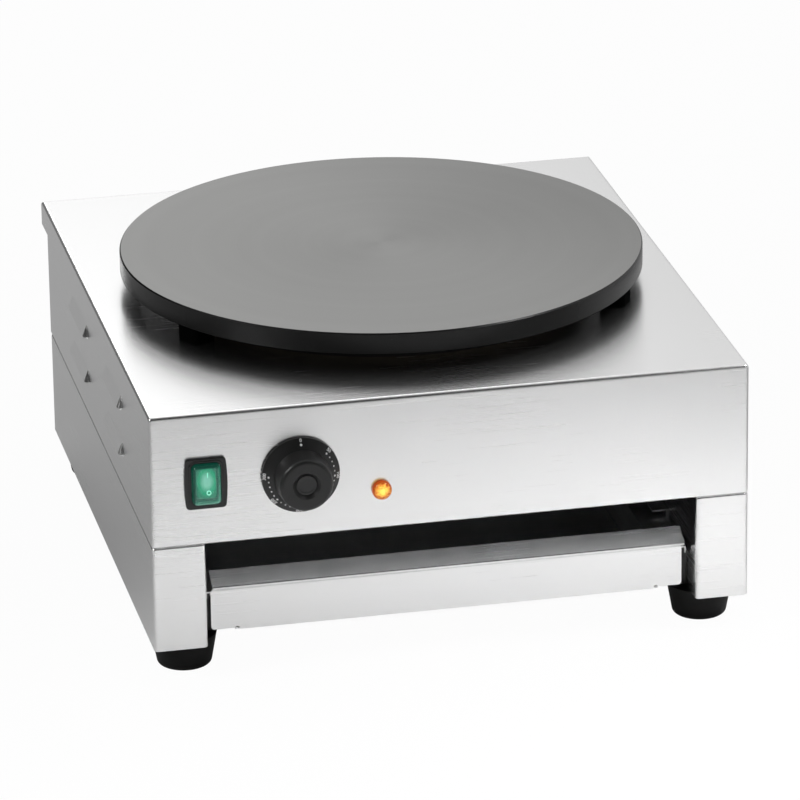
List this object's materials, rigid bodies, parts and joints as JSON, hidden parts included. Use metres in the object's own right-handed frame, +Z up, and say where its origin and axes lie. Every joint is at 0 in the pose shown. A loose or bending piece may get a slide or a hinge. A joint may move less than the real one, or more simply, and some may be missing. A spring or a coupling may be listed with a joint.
{
  "type": "electric crepe maker",
  "caption": "Counter-top electric crepe maker: round cast-iron plate on a brushed stainless housing with a tray drawer, thermostat knob, lit rocker switch and amber pilot lamp.",
  "frame": {"origin": "middle of the overall box on the plane of the feet", "axes": "+Z up, front panel towards -Y, +X to the right seen from the front"},
  "size_m": [0.4574, 0.516, 0.24],
  "materials": {
    "cover_steel": "brushed stainless steel, fine straight grain",
    "panel_steel": "mill finish stainless sheet",
    "galvanised_steel": "aluminised sheet, dull",
    "screw_steel": "bright zinc plated",
    "cast_plate": "ground cooking face, black enamelled rim",
    "foot_rubber": "moulded, matt",
    "mineral_wool": "pressed fibre pad",
    "element_sheath": "oxidised alloy tube",
    "copper_tube": "drawn copper",
    "control_plastic": "fine moulded grain",
    "control_gloss": "smooth moulded",
    "rocker_green": "translucent green, lit from inside",
    "boot_clear": "clear silicone cap",
    "lens_amber": "amber lens, lit from inside",
    "ceramic_white": "glazed ceramic",
    "earth_brass": "turned brass"
  },
  "bodies": {
    "housing": {"top_cover": "cover_steel", "rear_panel": "panel_steel", "rear_screws": "screw_steel", "heat_shield": "galvanised_steel", "rear_cross_panel": "panel_steel", "leg_box_left": "cover_steel", "leg_box_right": "cover_steel", "leg_strip_left": "panel_steel", "leg_strip_right": "panel_steel", "rail_left": "panel_steel", "rail_right": "panel_steel", "foot_front_left": "foot_rubber", "foot_front_right": "foot_rubber", "foot_rear_left": "foot_rubber", "foot_rear_right": "foot_rubber", "foot_screws": "screw_steel", "foot_nuts": "screw_steel", "rail_screws": "screw_steel", "cooking_plate": "cast_plate", "plate_studs": "screw_steel", "plate_washers": "screw_steel", "plate_nuts": "screw_steel", "element_pan": "galvanised_steel", "insulation_disc": "mineral_wool", "clamp_disc": "galvanised_steel", "heating_element": "element_sheath", "clamp_stud": "screw_steel", "clamp_nut": "screw_steel", "sensing_bulb": "copper_tube", "capillary_tube": "copper_tube", "thermostat_body": "control_plastic", "thermostat_screws": "screw_steel", "switch_bezel": "control_gloss", "switch_body": "control_plastic", "switch_boot": "boot_clear", "pilot_lens": "lens_amber", "pilot_body": "control_plastic", "pilot_nut": "control_plastic", "cable_gland": "control_plastic", "gland_nut": "control_plastic", "terminal_block": "ceramic_white", "earth_stud": "earth_brass"},
    "drawer": {"drawer_tray": "panel_steel", "drawer_front": "cover_steel"},
    "dial": {"knob": "control_plastic", "knob_cap": "control_gloss", "thermostat_shaft": "screw_steel"},
    "rocker": {"switch_rocker": "rocker_green"}
  },
  "joints": [
    {"name": "drawer_slide", "type": "slide", "parent": "housing", "child": "drawer", "axis": [0, -1, 0], "range_m": [0, 0.3]},
    {"name": "knob_turn", "type": "hinge", "parent": "housing", "child": "dial", "pos_m": [-0.1138, -0.232, 0.1558], "axis": [0, -1, 0], "range_deg": [0, 268]},
    {"name": "rocker_tilt", "type": "hinge", "parent": "housing", "child": "rocker", "pos_m": [-0.184, -0.2333, 0.1556], "axis": [1, 0, 0], "range_deg": [0, 22]}
  ]
}
